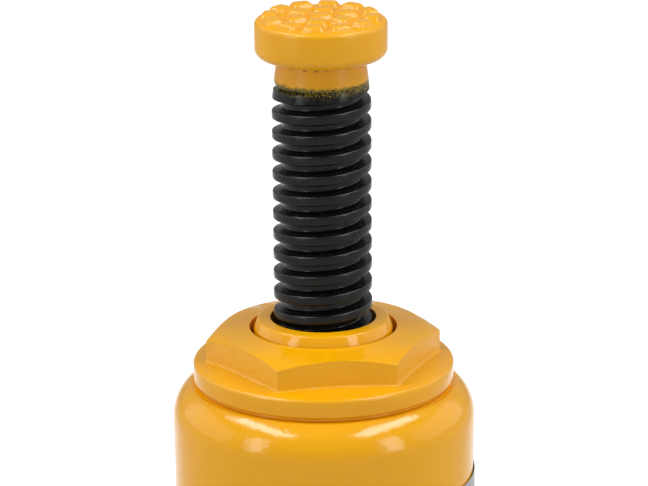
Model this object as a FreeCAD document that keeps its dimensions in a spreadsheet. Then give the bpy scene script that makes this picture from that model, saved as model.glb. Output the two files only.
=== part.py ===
import FreeCAD, Part
import math
import os
import Sketcher

# Bottle jack of about five tonnes, with its extension screw wound out.
# Origin: on the floor under the ram's axis. +Z is up and +X points to the pump.
# The handle socket is down, and the ram is down.

doc = FreeCAD.newDocument("bottle_jack")

# Driving sizes in millimetres and degrees, by piece. The radii grow outwards from the screw's.
DRIVING = {
    # clearances, and the breaks of sharp edges
    "running_gap": 0.05, "thread_gap": 0.05, "side_gap": 0.2, "edge_break": 1, "small_break": 0.5,
    # extension screw and saddle
    "screw_radius": 12, "screw_pitch": 5, "thread_depth": 2.6, "flank_angle": 15,
    "crest_width": 2.1, "flank_play": 0.25, "screw_out": 65.3, "neck_step": 0.7,
    "neck_length": 6.8, "saddle_overhang": 3.95, "saddle_under_round": 2.3, "saddle_height": 9.2,
    "saddle_rim_round": 1.2, "knob_height": 1.3, "knob_width": 6.1, "knob_pitch": 6.4,
    "knob_draft": 45, "knob_turn": 37,
    "stop_ring_height": 3, "stop_land": 2, "stop_seat_depth": 1.6,
    # ram
    "mouth_play": 0.85, "bore_play": 1, "ram_wall": 4, "ram_lift": 125, "lift_spare": 0.8,
    "ram_rim_bevel": 3, "ram_rim_drop": 0.4, "ram_chamfer_drop": 2.8, "nut_thread_length": 24,
    "nut_thread_lead": 3,
    # piston and its seal
    "piston_bottom": 25, "cup_nut_height": 5, "cup_nut_wall": 3.6, "cup_washer": 2, "cup_height": 7,
    "cup_lip": 4, "backup_ring": 1.6, "piston_flange": 5, "piston_spigot": 12, "spindle_radius": 8,
    # pressure cylinder
    "ram_play": 1, "cylinder_wall": 5, "cylinder_washer": 1.5,
    # top nut, whose heights are below the ram's top
    "nut_wall": 8, "nut_turn": 22.5, "nut_rise": 18.1, "hex_bottom_drop": 9.8,
    "flange_rim_drop": 11.7, "flange_drop": 15.6, "nut_hole_play": 1.05, "nut_hole_drop": 2.5,
    "nut_top_drop": 3.35, "nut_corner_drop": 5.2, "skirt_wall": 3.9, "skirt_length": 18,
    "flange_width": 5, "guide_length": 7.6, "wiper_width": 3.5, "wiper_height": 3.5, "wiper_lip": 0.8,
    # reservoir tube and its seals
    "shoulder_width": 4.85, "reservoir_wall": 2.6, "shoulder_bulge": 0.25, "shoulder_radius": 10,
    "shoulder_crown": 1.6, "shoulder_blend": 17, "neck_play": 0.4, "gasket_inset": 0.9,
    "gasket_thickness": 1,
    # base casting
    "foot_margin": 9.25, "foot_height": 16, "back_corner": 16, "front_corner": 22, "foot_round": 3,
    "side_rim": 12.6, "back_rim": 9, "front_rim": 14.4, "recess_depth": 3, "collar_top": 34,
    "collar_wall": 4.5, "collar_flare": 2.5, "sump_floor": 30, "reservoir_groove": 3,
    "ram_floor": 22, "gallery_radius": 1.5,
    # pump
    "pump_spacing": 30.25, "pump_margin": 17, "pump_boss_wall": 6, "pump_boss_top": 38,
    "pump_boss_bevel": 1.2, "chamber_floor": 20, "pump_thread_radius": 9, "pump_washer": 1.5,
    "pump_hex_flats": 24, "pump_hex_turn": 30, "pump_hex_height": 8, "hex_bevel_drop": 0.8,
    "pump_barrel_radius": 10.5, "pump_top": 60, "pump_top_bevel": 1.5, "plunger_radius": 6,
    "plunger_bottom": 28.2, "plunger_seal_width": 2.6, "plunger_seal_height": 4.5,
    "plunger_wiper_height": 3, "seal_spacing": 3, "eye_half_width": 5, "eye_radius": 7,
    # lever and links
    "arm": 21, "half_swing": 26, "socket_rest": 10, "eye_clearance": 3, "base_pin_z": 43,
    "pin_radius": 3.5, "link_thickness": 3, "link_half_width": 6, "ear_half_width": 10.2,
    "lug_wall": 2.4, "plunger_eye_round": 9, "fulcrum_round": 6.5, "clip_thickness": 1.2,
    "clip_width": 1.9, "clip_groove": 0.7, "pin_end": 1.1, "socket_length": 62, "socket_wall": 3.75,
    "socket_bore_radius": 11.25, "socket_bore_depth": 40, "socket_rim": 1, "socket_rim_width": 5,
    "root_start": 9.5, "root_length": 9, "root_step": 5, "ear_run": 12, "ear_rise": 2,
    # release valve, in the front corner
    "valve_angle": 28, "valve_z": 15, "valve_boss_radius": 10, "valve_boss_proud": 1.5,
    "valve_depth": 34.5, "valve_port_length": 6.9, "valve_ball_radius": 2.5, "valve_port_radius": 1.7,
    "valve_thread_radius": 5, "valve_ring_depth": 5.5, "valve_ring_width": 2.4,
    "valve_ring_seat": 1.6, "valve_shank": 2.5, "valve_knob_radius": 7.5, "valve_knob_length": 11,
    "valve_slot": 3.2, "valve_slot_depth": 6, "notch_radius": 1.5, "notch_offset": 0.9,
    # check valves
    "check_ball_radius": 3, "check_port_radius": 2, "check_lift": 1.2, "ball_gap": 0.05,
    "cage_thickness": 1.4, "discharge_seat": 12.5, "discharge_y": 5.2, "pocket_radius": 5.05,
    "cage_flange": 7, "cage_top": 24, "cage_depth": 2.4, "spring_wire": 0.4, "suction_z": 14.5,
    "discharge_z": 7.5, "riser_radius": 1, "strainer_radius": 4, "strainer_height": 6,
    "strainer_wall": 0.8,
    # relief valve
    "relief_behind_pump": 19, "relief_inset": 16, "relief_boss_radius": 8.5, "relief_top": 30,
    "relief_seat": 14.5, "relief_radius": 4, "relief_ball_radius": 2.25, "relief_port_radius": 1.5,
    "relief_screw_z": 24.5, "relief_screw_height": 3, "relief_slot": 1.2, "relief_head_flats": 13,
    "relief_turn": 15, "relief_head": 4,
    # filler plug
    "plug_drop": 34.9, "plug_hole_radius": 4.3, "plug_head_radius": 6.5, "plug_head": 3,
    "plug_head_round": 2, "plug_barb": 0.8, "plug_length": 4,
    # gallery plugs
    "gallery_plug_radius": 3, "gallery_plug_length": 5, "gallery_plug_depth": 1,
}


class Size:
    """A length, angle or number with the sheet expression that drives it."""

    def __init__(self, value, text):
        self.value = value
        self.text = text

    def joined(self, other, sign, value):
        return Size(value, "(%s %s %s)" % (self.text, sign, as_size(other).text))

    def __add__(self, other):
        return self.joined(other, "+", self.value + as_size(other).value)

    def __sub__(self, other):
        return self.joined(other, "-", self.value - as_size(other).value)

    def __mul__(self, other):
        return self.joined(other, "*", self.value * as_size(other).value)

    def __truediv__(self, other):
        return self.joined(other, "/", self.value / as_size(other).value)

    def __radd__(self, other):
        return as_size(other) + self

    def __rsub__(self, other):
        return as_size(other) - self

    def __rmul__(self, other):
        return as_size(other) * self

    def __neg__(self):
        return as_size(0) - self


def as_size(number):
    return number if isinstance(number, Size) else Size(float(number), repr(float(number)))


def cosine(angle):
    return Size(math.cos(math.radians(angle.value)), "cos(%s)" % angle.text)


def sine(angle):
    return Size(math.sin(math.radians(angle.value)), "sin(%s)" % angle.text)


def tangent(angle):
    return Size(math.tan(math.radians(angle.value)), "tan(%s)" % angle.text)


def root(number):
    return Size(math.sqrt(number.value), "sqrt(%s)" % number.text)


def fill_sheet():
    """Writes the driving sizes into the sheet and returns them by name."""
    sheet = doc.addObject("Spreadsheet::Sheet", "Sizes")
    for row, (name, number) in enumerate(DRIVING.items(), start=1):
        sheet.set("A%d" % row, name)
        sheet.set("B%d" % row, str(number))
        sheet.setAlias("B%d" % row, name)
    doc.recompute()
    return {name: Size(float(number), "Sizes." + name) for name, number in DRIVING.items()}


class Named:
    """Gives each size as an attribute."""

    def __init__(self, sizes):
        self.__dict__.update(sizes)


s = Named(fill_sheet())


# Working helpers for bodies, sketches and features

def new_body(label, x=None, y=None, z=None, turn=None, axis=(0, 0, 1)):
    """A body with its own label, placed and turned by sheet sizes."""
    body = doc.addObject("PartDesign::Body", label)
    body.Label = label
    if turn is not None:
        body.Placement = FreeCAD.Placement(
            FreeCAD.Vector(), FreeCAD.Rotation(FreeCAD.Vector(*axis), turn.value))
        body.setExpression("Placement.Rotation.Angle", turn.text)
    for letter, size in (("x", x), ("y", y), ("z", z)):
        if size is not None:
            body.setExpression("Placement.Base." + letter, size.text)
    return body


def new_sketch(body, plane, lift=None, rise=None, turn=None):
    """A sketch on one of the body's own planes, lifted off it, raised in it or turned about Z."""
    sketch = body.newObject("Sketcher::SketchObject", body.Name + "_sketch")
    support = next(f for f in body.Origin.OriginFeatures if f.Role == plane + "_Plane")
    sketch.AttachmentSupport = [(support, "")]
    sketch.MapMode = "FlatFace"
    if turn is not None:
        sketch.AttachmentOffset = FreeCAD.Placement(
            FreeCAD.Vector(), FreeCAD.Rotation(FreeCAD.Vector(0, 1, 0), turn.value))
        sketch.setExpression("AttachmentOffset.Rotation.Angle", turn.text)
    for letter, size in (("z", lift), ("y", rise)):
        if size is not None:
            sketch.setExpression("AttachmentOffset.Base." + letter, as_size(size).text)
    return sketch


def pin_point(sketch, edge, end, x, y):
    """Fixes one end of a sketch edge at the sizes x and y."""
    for kind, size, axis in (("DistanceX", as_size(x), -2), ("DistanceY", as_size(y), -1)):
        if size.value == 0 and size.text == "0.0":
            sketch.addConstraint(Sketcher.Constraint("PointOnObject", edge, end, axis))
            continue
        index = sketch.addConstraint(Sketcher.Constraint(kind, -1, 1, edge, end, size.value))
        sketch.setExpression("Constraints[%d]" % index, size.text)


def arc_between(start, end, radius, side):
    """The short arc from start to end. Side is +1 for a centre to the left of the way, -1 right."""
    middle = (start + end) * 0.5
    chord = end - start
    across = FreeCAD.Vector(-chord.y, chord.x, 0).normalize()
    reach = math.sqrt(max(radius ** 2 - (chord.Length / 2) ** 2, 0))
    centre = middle + across * reach * side
    crown = centre - across * radius * side
    return Part.Arc(start, crown, end)


def draw(sketch, points):
    """A closed outline. A point is (x, y), or (x, y, radius, side) where an arc leaves it."""
    spots = [FreeCAD.Vector(as_size(p[0]).value, as_size(p[1]).value, 0) for p in points]
    first = sketch.GeometryCount
    ends = []
    for index, point in enumerate(points):
        start = spots[index]
        end = spots[(index + 1) % len(spots)]
        if len(point) == 2:
            sketch.addGeometry(Part.LineSegment(start, end), False)
            ends.append((1, 2))
        else:
            radius, side = as_size(point[2]), point[3]
            sketch.addGeometry(arc_between(start, end, radius.value, side), False)
            ends.append((1, 2) if side > 0 else (2, 1))
    for index, point in enumerate(points):
        follower = (index + 1) % len(points)
        sketch.addConstraint(Sketcher.Constraint(
            "Coincident", first + index, ends[index][1], first + follower, ends[follower][0]))
        pin_point(sketch, first + index, ends[index][0], point[0], point[1])
        if len(point) == 4:
            radius = as_size(point[2])
            place = sketch.addConstraint(Sketcher.Constraint("Radius", first + index, radius.value))
            sketch.setExpression("Constraints[%d]" % place, radius.text)


def draw_circle(sketch, x, y, radius):
    x, y, radius = as_size(x), as_size(y), as_size(radius)
    centre = FreeCAD.Vector(x.value, y.value, 0)
    edge = sketch.addGeometry(Part.Circle(centre, FreeCAD.Vector(0, 0, 1), radius.value), False)
    pin_point(sketch, edge, 3, x, y)
    index = sketch.addConstraint(Sketcher.Constraint("Radius", edge, radius.value))
    sketch.setExpression("Constraints[%d]" % index, radius.text)


def corner_radius(flats):
    """The radius to a hexagon's corners, from its width across the flats."""
    return flats / math.sqrt(3)


def draw_hexagon(sketch, flats, turn=0):
    """A regular hexagon about the origin, with a corner at the turn angle in degrees."""
    reach = corner_radius(flats)
    corners = [as_size(turn) + 60 * step for step in range(6)]
    draw(sketch, [(reach * cosine(angle), reach * sine(angle)) for angle in corners])


def draw_box(sketch, left, low, right, high):
    draw(sketch, [(left, low), (right, low), (right, high), (left, high)])


def feature(body, kind, sketch):
    made = body.newObject("PartDesign::" + kind, body.Name + "_" + kind.lower())
    made.Profile = sketch
    sketch.Visibility = False
    return made


def spun(body, kind, points, plane="XZ", about="V_Axis", rise=None, turn=None):
    """A Revolution or Groove of an outline about one of its sketch's axes."""
    sketch = new_sketch(body, plane, rise=rise, turn=turn)
    draw(sketch, points)
    made = feature(body, kind, sketch)
    made.ReferenceAxis = (sketch, [about])
    made.Angle = 360
    return made


def extruded(body, kind, sketch, length, reverse=False, midplane=False):
    """A Pad or Pocket of a sketch by a length."""
    made = feature(body, kind, sketch)
    made.setExpression("Length", as_size(length).text)
    made.Reversed = reverse
    if midplane:
        made.SideType = "Symmetric"
    return made


def drilled(body, plane, lift, x, y, radius, length, reverse=False):
    """A round hole from a plane lifted off the body's own plane."""
    sketch = new_sketch(body, plane, lift=lift)
    draw_circle(sketch, x, y, radius)
    return extruded(body, "Pocket", sketch, length, reverse)


def repeated(body, name, item, sketch, count):
    """Repeats a feature about its sketch's upright."""
    pattern = body.newObject("PartDesign::PolarPattern", name)
    pattern.Originals = [item]
    pattern.Axis = (sketch, ["N_Axis"])
    pattern.Angle = 360
    pattern.Occurrences = count
    body.Tip = pattern


def bevelled_top(body, corner, top, drop):
    """Turns the corners off a hexagon's top, as its spanner corners have."""
    inner, outer = corner - s.edge_break, corner + s.edge_break
    spun(body, "Groove", [
        (inner, top), (corner, top - drop), (outer, top - drop), (outer, top + drop),
        (inner, top + drop)])


def turned(label, points, **place):
    """A piece made in one turning: a full revolution of an outline about its own Z axis."""
    body = new_body(label, **place)
    spun(body, "Revolution", points)
    return body


def ring(label, inner, outer, low, high, **place):
    return turned(label, [(inner, low), (outer, low), (outer, high), (inner, high)], **place)


def round_edges(body, wanted, radius, kind="Fillet"):
    """Rounds or chamfers the edges of the body's last feature that pass a test."""
    doc.recompute()
    base = body.Tip
    names = ["Edge%d" % (i + 1) for i, edge in enumerate(base.Shape.Edges) if wanted(edge)]
    made = body.newObject("PartDesign::" + kind, body.Name + "_" + kind.lower())
    made.Base = (base, names)
    made.setExpression("Radius" if kind == "Fillet" else "Size", as_size(radius).text)
    return made


def flat_at(height):
    """A test for edges that lie level at a height."""
    return lambda edge: all(abs(v.Z - height.value) < 0.001 for v in edge.Vertexes) and \
        abs(edge.BoundBox.ZLength) < 0.001


def ball(label, radius, **place):
    """A steel ball: two quarter arcs turned about its own upright."""
    body = new_body(label, **place)
    spun(body, "Revolution", [(0, -radius, radius, 1), (radius, 0, radius, 1), (0, radius)])
    return body


def coil(label, mean_radius, wire, low, high, turns, **place):
    """A compression spring of round wire."""
    body = new_body(label, **place)
    sketch = new_sketch(body, "XZ")
    draw_circle(sketch, mean_radius, low + wire, wire)
    made = feature(body, "AdditiveHelix", sketch)
    made.ReferenceAxis = (sketch, ["V_Axis"])
    made.Mode = 1
    made.Turns = turns
    made.setExpression("Pitch", ((high - low - wire * 2) / turns).text)
    return body


# Radii that follow from the driving sizes, from the screw outwards
s.ram_mouth_radius = s.screw_radius + s.mouth_play
s.ram_bore_radius = s.screw_radius + s.bore_play
s.ram_radius = s.ram_bore_radius + s.ram_wall
s.ram_rim_radius = s.ram_radius - s.ram_rim_bevel
s.nut_hole_radius = s.ram_radius + s.nut_hole_play
s.wiper_groove_radius = s.ram_radius + s.wiper_width
s.nut_half_flats = s.ram_radius + s.nut_wall
s.bore_radius = s.ram_radius + s.ram_play
s.cylinder_radius = s.bore_radius + s.cylinder_wall
s.skirt_radius = s.cylinder_radius + s.skirt_wall
s.neck_hole_radius = s.skirt_radius + s.neck_play
s.flange_radius = s.skirt_radius + s.flange_width
s.gasket_radius = s.flange_radius - s.gasket_inset
s.reservoir_radius = s.flange_radius + s.shoulder_width
inner_wall = s.reservoir_radius - s.reservoir_wall

# Levels, from the floor upwards
groove_z = s.sump_floor - s.reservoir_groove
reservoir_seat_z = groove_z + s.gasket_thickness
cylinder_z = s.ram_floor + s.cylinder_washer
piston_top = s.piston_bottom + s.cup_nut_height + s.cup_washer + s.cup_height + s.backup_ring \
    + s.piston_flange
nut_guide_z = piston_top + s.ram_lift + s.lift_spare
s.ram_top = nut_guide_z + s.nut_rise
flange_z = s.ram_top - s.flange_drop
shoulder_z = flange_z - s.gasket_thickness
nut_thread_z = s.ram_top - s.neck_length - s.nut_thread_length
screw_land = nut_thread_z - s.side_gap
screw_bottom = screw_land - s.stop_ring_height - s.stop_land
s.plug_z = shoulder_z - s.plug_drop

# Plan of the base, and the lever's pins
s.base_back = s.reservoir_radius + s.foot_margin
s.base_half_width = s.reservoir_radius + s.foot_margin
s.pump_x = s.reservoir_radius + s.pump_spacing
s.base_front = s.pump_x + s.pump_margin
s.intake_x = (s.cylinder_radius + inner_wall) * 0.5
s.relief_x = s.pump_x - s.relief_behind_pump
s.relief_y = s.base_half_width - s.relief_inset
plunger_pin_z = s.pump_top + s.plunger_eye_round + s.eye_clearance
fulcrum_z = plunger_pin_z + s.arm * sine(s.half_swing)
fulcrum_x = s.pump_x - s.arm * cosine(s.half_swing)
link_length = fulcrum_z - s.base_pin_z
slot_travel = s.arm * (1 - cosine(s.half_swing))
slot_x = s.pump_x - s.arm + slot_travel * 0.5
pump_z = s.chamber_floor + s.pump_washer

# The release valve's axis leaves the rounded front corner at this distance from the ram's axis
corner_x = s.base_front - s.front_corner
corner_y = s.base_half_width - s.front_corner
along = corner_x * cosine(s.valve_angle) + corner_y * sine(s.valve_angle)
corner_exit = along + root(
    along * along + s.front_corner * s.front_corner - corner_x * corner_x - corner_y * corner_y)
s.valve_face = corner_exit + s.valve_boss_proud
s.valve_seat = s.valve_face - s.valve_depth
s.valve_thread_start = s.valve_seat + s.valve_port_length


def seated(ball_radius, port_radius):
    """How far above its drilled seat's edge a ball's centre stands."""
    return s.ball_gap + root(ball_radius * ball_radius - port_radius * port_radius)


suction_ball_z = s.chamber_floor + seated(s.check_ball_radius, s.check_port_radius)
discharge_ball_z = s.discharge_seat + seated(s.check_ball_radius, s.check_port_radius)
relief_ball_z = s.relief_seat + seated(s.relief_ball_radius, s.relief_port_radius)
valve_ball_x = s.valve_seat + seated(s.valve_ball_radius, s.valve_port_radius)


# Base casting

def make_base():
    """Cast foot with the reservoir's collar, the pump's boss, the link lug and the valve bosses."""
    body = new_body("base")
    foot = new_sketch(body, "XY")
    back, front, side = -s.base_back, s.base_front, s.base_half_width
    draw(foot, [
        (back + s.back_corner, -side), (front - s.front_corner, -side, s.front_corner, 1),
        (front, -side + s.front_corner), (front, side - s.front_corner, s.front_corner, 1),
        (front - s.front_corner, side), (back + s.back_corner, side, s.back_corner, 1),
        (back, side - s.back_corner), (back, -side + s.back_corner, s.back_corner, 1)])
    extruded(body, "Pad", foot, s.foot_height)
    round_edges(body, flat_at(s.foot_height), s.foot_round)
    # underside hollow, as castings have
    hollow = new_sketch(body, "XY")
    draw_box(hollow, back + s.back_rim, -side + s.side_rim, front - s.front_rim, side - s.side_rim)
    extruded(body, "Pocket", hollow, s.recess_depth, reverse=True)
    # collar round the reservoir
    wall = s.reservoir_radius + s.collar_wall
    spun(body, "Revolution", [
        (0, s.recess_depth), (wall + s.collar_flare, s.recess_depth),
        (wall + s.collar_flare, s.foot_height), (wall, s.foot_height + s.collar_flare * 2),
        (wall, s.collar_top - s.edge_break), (wall - s.edge_break, s.collar_top),
        (0, s.collar_top)])
    # pump boss
    boss = new_sketch(body, "XY")
    draw_circle(boss, s.pump_x, 0, s.pump_barrel_radius + s.pump_boss_wall)
    extruded(body, "Pad", boss, s.pump_boss_top)
    round_edges(body, flat_at(s.pump_boss_top), s.pump_boss_bevel, "Chamfer")
    # web and lug between collar and pump boss
    web = new_sketch(body, "XZ")
    lug = s.pin_radius + slot_travel * 0.5 + s.side_gap + s.lug_wall
    lug_top = s.base_pin_z + s.pin_radius + s.lug_wall
    shoulder = lug * 0.5
    web_top = s.collar_top - s.edge_break * 2
    draw(web, [
        (slot_x - lug, s.recess_depth), (s.pump_x, s.recess_depth), (s.pump_x, web_top),
        (slot_x + lug, web_top), (slot_x + lug, lug_top - shoulder, shoulder, 1),
        (slot_x + lug - shoulder, lug_top), (slot_x - lug + shoulder, lug_top, shoulder, 1),
        (slot_x - lug, lug_top - shoulder)])
    extruded(body, "Pad", web, s.ear_half_width * 2, midplane=True)
    # bosses of the relief valve and of the release valve
    relief = new_sketch(body, "XY")
    draw_circle(relief, s.relief_x, s.relief_y, s.relief_boss_radius)
    extruded(body, "Pad", relief, s.relief_top)
    spun(body, "Revolution", [
        (0, 0), (s.valve_face, 0), (s.valve_face, s.valve_boss_radius - s.edge_break),
        (s.valve_face - s.edge_break, s.valve_boss_radius), (0, s.valve_boss_radius)],
        about="H_Axis", rise=s.valve_z, turn=-s.valve_angle)
    # sump, reservoir groove, cylinder seat and discharge pocket
    thread = s.cylinder_radius + s.thread_gap
    top = s.pump_boss_top + s.edge_break
    spun(body, "Groove", [
        (0, s.ram_floor), (thread, s.ram_floor), (thread, s.sump_floor),
        (inner_wall - s.side_gap, s.sump_floor), (inner_wall - s.side_gap, groove_z),
        (s.reservoir_radius + s.side_gap, groove_z), (s.reservoir_radius + s.side_gap, top),
        (0, top)])
    drilled(body, "XY", s.ram_floor, 0, s.discharge_y, s.pocket_radius,
            s.ram_floor - s.discharge_seat)
    drilled(body, "XY", s.discharge_seat, 0, s.discharge_y, s.check_port_radius,
            s.discharge_seat - s.discharge_z)
    # pump chamber, suction port and discharge riser
    drilled(body, "XY", s.pump_boss_top, s.pump_x, 0, s.pump_thread_radius + s.thread_gap,
            s.pump_boss_top - s.chamber_floor)
    drilled(body, "XY", s.chamber_floor, s.pump_x, 0, s.check_port_radius,
            s.chamber_floor - s.suction_z)
    drilled(body, "XY", s.chamber_floor, s.pump_x - s.edge_break, s.discharge_y, s.riser_radius,
            s.chamber_floor - s.discharge_z)
    drilled(body, "XY", s.sump_floor, s.intake_x, 0, s.check_port_radius,
            s.sump_floor - s.suction_z)
    # suction and discharge galleries, drilled from the front and plugged
    for y, z, inner in ((0, s.suction_z, s.intake_x), (s.discharge_y, s.discharge_z, 0)):
        drilled(body, "YZ", s.base_front, y, z, s.gallery_radius, s.base_front - inner)
        drilled(body, "YZ", s.base_front, y, z, s.gallery_plug_radius + s.thread_gap,
                s.gallery_plug_length + s.gallery_plug_depth)
    # relief valve bore, and its gallery from the side
    drilled(body, "XY", s.relief_top, s.relief_x, s.relief_y, s.relief_radius + s.thread_gap,
            s.relief_top - s.relief_seat)
    drilled(body, "XY", s.relief_seat, s.relief_x, s.relief_y, s.relief_port_radius,
            s.relief_seat - s.discharge_z)
    for radius, length in ((s.gallery_radius, side - s.discharge_y),
                           (s.gallery_plug_radius + s.thread_gap,
                            s.gallery_plug_length + s.gallery_plug_depth)):
        drilled(body, "XZ", -side, s.relief_x, s.discharge_z, radius, length, reverse=True)
    # release valve bore, stepped down to its port, and the port's riser
    bore = s.valve_thread_radius + s.thread_gap
    ball_room = s.valve_ball_radius + s.side_gap * 3
    riser = s.bore_radius * 0.7
    outside = s.valve_face + s.edge_break
    spun(body, "Groove", [
        (riser, 0), (outside, 0), (outside, bore), (s.valve_thread_start, bore),
        (s.valve_thread_start, ball_room), (s.valve_seat, ball_room),
        (s.valve_seat, s.valve_port_radius), (riser, s.valve_port_radius)],
        about="H_Axis", rise=s.valve_z, turn=-s.valve_angle)
    drilled(body, "XY", s.ram_floor, riser * cosine(s.valve_angle), -riser * sine(s.valve_angle),
            s.valve_port_radius, s.ram_floor - s.valve_z)
    # slot of the base pin, long enough for the link's foot to swing in
    slot = new_sketch(body, "XZ")
    half = s.pin_radius + s.side_gap
    reach = slot_travel * 0.5
    low, high = s.base_pin_z - half, s.base_pin_z + half
    left, right = slot_x - reach, slot_x + reach
    draw(slot, [
        (left, low), (right, low, half, 1), (right + half, s.base_pin_z, half, 1),
        (right, high), (left, high, half, 1), (left - half, s.base_pin_z, half, 1)])
    extruded(body, "Pocket", slot, s.ear_half_width * 2 + 1, midplane=True)


# Reservoir and pressure cylinder

def make_reservoir():
    """Drawn steel tube with a rounded shoulder, clamped between the base and the nut's flange."""
    outer, wall, bend = s.reservoir_radius, s.reservoir_wall, s.shoulder_radius
    bulged = outer + s.shoulder_bulge
    bend_r = bulged - bend
    bend_z = shoulder_z + s.shoulder_crown - bend
    flat_r = bend_r + root(bend * bend - (shoulder_z - bend_z) * (shoulder_z - bend_z))
    body = new_body("reservoir")
    inner_bend = bend - wall
    inner_flat = bend_z + inner_bend
    spun(body, "Revolution", [
        (outer - wall, reservoir_seat_z), (outer, reservoir_seat_z),
        (outer, bend_z - s.shoulder_blend), (bulged, bend_z, bend, 1), (flat_r, shoulder_z),
        (s.neck_hole_radius, shoulder_z), (s.neck_hole_radius, inner_flat),
        (bend_r, inner_flat, inner_bend, -1), (bulged - wall, bend_z),
        (outer - wall, bend_z - s.shoulder_blend)])
    drilled(body, "XZ", 0, 0, s.plug_z, s.plug_hole_radius, bulged + s.edge_break, reverse=True)
    ring("reservoir_seal", inner_wall, s.reservoir_radius, groove_z, reservoir_seat_z)
    ring("shoulder_gasket", s.neck_hole_radius + s.side_gap, s.gasket_radius, shoulder_z, flange_z)


def make_cylinder():
    """Honed tube that the ram works in, standing on a copper washer."""
    outer, bore = s.cylinder_radius, s.bore_radius
    edge, lead = s.edge_break, s.small_break
    turned("pressure_cylinder", [
        (bore, cylinder_z), (outer - edge, cylinder_z), (outer, cylinder_z + edge),
        (outer, nut_guide_z - edge), (outer - edge, nut_guide_z), (bore + lead, nut_guide_z),
        (bore, nut_guide_z - edge)])
    ring("cylinder_washer", bore + lead, outer - s.side_gap, s.ram_floor, cylinder_z)


# Top nut and wiper

def make_top_nut():
    """Hexagon nut with a round flange, screwed on the cylinder to hold the reservoir down."""
    body = new_body("top_nut")
    hex_z = s.ram_top - s.hex_bottom_drop
    rim_z = s.ram_top - s.flange_rim_drop
    flats = s.nut_half_flats * 2
    corner = corner_radius(flats)
    flat_z = s.ram_top - s.nut_top_drop
    hole_z = s.ram_top - s.nut_hole_drop
    thread = s.cylinder_radius + s.thread_gap
    skirt_z = flange_z - s.skirt_length
    wiper_z = nut_guide_z + s.guide_length
    edge, rim = s.edge_break, s.small_break
    spun(body, "Revolution", [
        (0, nut_guide_z), (thread, nut_guide_z), (thread, skirt_z), (s.skirt_radius - edge, skirt_z),
        (s.skirt_radius, skirt_z + edge), (s.skirt_radius, flange_z), (s.flange_radius - rim, flange_z),
        (s.flange_radius, flange_z + rim), (s.flange_radius, rim_z, edge, 1),
        (s.flange_radius - edge, rim_z + edge), (s.nut_half_flats - edge, hex_z), (0, hex_z)])
    hexagon = new_sketch(body, "XY", lift=rim_z)
    draw_hexagon(hexagon, flats, s.nut_turn)
    extruded(body, "Pad", hexagon, s.flange_rim_drop)
    # domed top with chamfered corners
    corner_z = s.ram_top - s.nut_corner_drop
    outside, above = corner + edge, s.ram_top + edge
    spun(body, "Groove", [
        (0, hole_z), (s.nut_hole_radius, hole_z), (s.nut_half_flats, flat_z), (corner, corner_z),
        (outside, corner_z), (outside, above), (0, above)])
    # ram hole, wiper groove and guide bore
    groove_top = wiper_z + s.wiper_height
    guide = s.ram_radius + s.running_gap
    spun(body, "Groove", [
        (0, nut_guide_z - edge), (guide + edge, nut_guide_z - edge), (guide, nut_guide_z),
        (guide, wiper_z), (s.wiper_groove_radius, wiper_z), (s.wiper_groove_radius, groove_top),
        (s.nut_hole_radius, groove_top), (s.nut_hole_radius, above), (0, above)])
    top = groove_top + s.wiper_lip
    turned("ram_wiper", [
        (guide, wiper_z), (s.wiper_groove_radius, wiper_z), (s.wiper_groove_radius, groove_top),
        (s.nut_hole_radius - s.side_gap, groove_top), (guide + s.side_gap, top), (guide, top)])


# Ram, piston and seals

def thread_outline(root_radius, crest_radius, crest_width, low):
    """One tooth of the trapezoidal thread, from inside its root to its crest."""
    slope = tangent(s.flank_angle) * (crest_radius - root_radius)
    return [
        (root_radius, low - slope), (crest_radius, low), (crest_radius, low + crest_width),
        (root_radius, low + crest_width + slope)]


def helix_of(body, kind, points, height):
    """Adds or cuts a right-hand helix of an outline about the body's Z axis."""
    sketch = new_sketch(body, "XZ")
    draw(sketch, points)
    made = feature(body, kind, sketch)
    made.ReferenceAxis = (sketch, ["V_Axis"])
    made.Mode = 0
    made.setExpression("Pitch", s.screw_pitch.text)
    made.setExpression("Height", height.text)
    return made


def make_ram():
    """Ground ram tube with the extension screw's thread cut below a mouth that takes its neck."""
    body = new_body("ram")
    outer, bore = s.ram_radius, s.ram_bore_radius
    minor = s.screw_radius - s.thread_depth + s.flank_play
    mouth_z = s.ram_top - s.neck_length
    lead = s.nut_thread_lead
    spun(body, "Revolution", [
        (bore, piston_top), (outer, piston_top), (outer, s.ram_top - s.ram_chamfer_drop),
        (s.ram_rim_radius, s.ram_top - s.ram_rim_drop), (s.ram_mouth_radius, s.ram_top),
        (s.ram_mouth_radius, mouth_z), (minor, mouth_z - lead), (minor, nut_thread_z + lead),
        (bore, nut_thread_z)])
    # the groove between the nut threads is the screw's tooth with play all round
    start = thread_start_z(nut_thread_z - s.screw_pitch)
    helix_of(body, "SubtractiveHelix", thread_outline(
        minor - s.small_break, s.screw_radius + s.flank_play, s.crest_width + s.flank_play,
        start - s.flank_play * 0.5), s.nut_thread_length + s.screw_pitch * 2)


def thread_start_z(low):
    """The height at or above low where a tooth of the screw starts, in step with its helix."""
    steps = math.ceil((low.value - s.ram_top.value) / s.screw_pitch.value)
    return s.ram_top + s.screw_pitch * steps


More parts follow.
